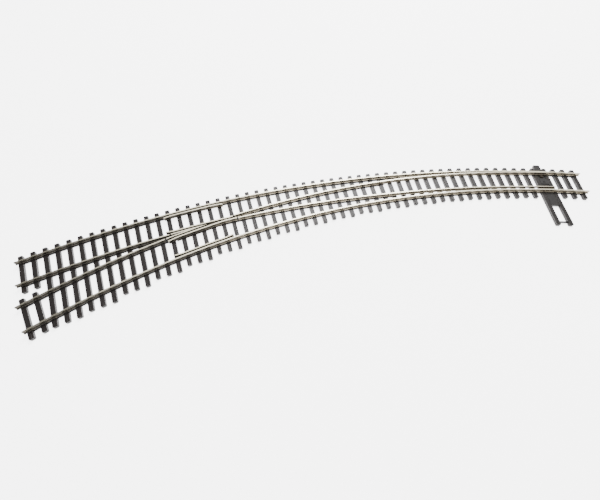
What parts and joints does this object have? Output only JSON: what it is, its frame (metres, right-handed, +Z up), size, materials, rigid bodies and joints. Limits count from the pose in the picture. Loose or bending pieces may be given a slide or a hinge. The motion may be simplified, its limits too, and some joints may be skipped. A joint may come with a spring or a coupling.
{
  "type": "model railway turnout switch",
  "caption": "Curved model railway turnout on a moulded tie base, with hinged point blades moved by a sliding throwbar, a frog and guard rails.",
  "frame": {"origin": "under the middle of the toe tie, on the outer route's centreline, in the plane that the ties rest on", "axes": "+X points out of the toe end along the track, +Y to the outside of the curve, +Z up"},
  "size_m": [0.3732, 0.1609, 0.004],
  "materials": {
    "tie_plastic": "satin",
    "bar_plastic": "satin",
    "insulator_plastic": "matt",
    "nickel_silver": "drawn",
    "sheet_brass": "stamped",
    "rivet_metal": "turned",
    "slide_plate_steel": "rolled",
    "jumper_copper": "drawn"
  },
  "bodies": {
    "base": {"tie_base": "tie_plastic", "far_stock_rail": "nickel_silver", "near_stock_rail": "nickel_silver", "far_closure_rail": "nickel_silver", "near_closure_rail": "nickel_silver", "far_wing_rail": "nickel_silver", "near_wing_rail": "nickel_silver", "frog_point": "nickel_silver", "frog_splice_rail": "nickel_silver", "frog_plate": "sheet_brass", "outer_heel_rail": "nickel_silver", "inner_heel_rail": "nickel_silver", "far_guard_rail": "nickel_silver", "near_guard_rail": "nickel_silver", "far_guard_blocks": "insulator_plastic", "near_guard_blocks": "insulator_plastic", "toe_insulators": "insulator_plastic", "heel_insulators": "insulator_plastic", "far_hinge_rivet": "rivet_metal", "near_hinge_rivet": "rivet_metal", "far_heel_plate": "sheet_brass", "near_heel_plate": "sheet_brass", "far_slide_plates": "slide_plate_steel", "near_slide_plates": "slide_plate_steel", "far_jumper": "jumper_copper", "near_jumper": "jumper_copper"},
    "throwbar": {"throwbar": "bar_plastic"},
    "far_point": {"far_point_blade": "nickel_silver", "far_hinge_tab": "sheet_brass", "far_drive_tab": "sheet_brass", "far_drive_pin": "rivet_metal"},
    "near_point": {"near_point_blade": "nickel_silver", "near_hinge_tab": "sheet_brass", "near_drive_tab": "sheet_brass", "near_drive_pin": "rivet_metal"}
  },
  "joints": [
    {"name": "throwbar_slide", "type": "slide", "parent": "base", "child": "throwbar", "axis": [0.0361, -0.9993, 0], "range_m": [0, 0.002]},
    {"name": "far_point_hinge", "type": "hinge", "parent": "base", "child": "far_point", "pos_m": [-0.14311, -0.01185, 0.0017], "axis": [0, 0, 1], "range_deg": [-1, 0]},
    {"name": "near_point_hinge", "type": "hinge", "parent": "base", "child": "near_point", "pos_m": [-0.13709, -0.02304, 0.0017], "axis": [0, 0, 1], "range_deg": [-1.05, 0]}
  ],
  "couplings": [
    {"joint": "far_point_hinge", "follows": "throwbar_slide", "rad_per_m": -8.3862},
    {"joint": "near_point_hinge", "follows": "throwbar_slide", "rad_per_m": -8.8009}
  ]
}
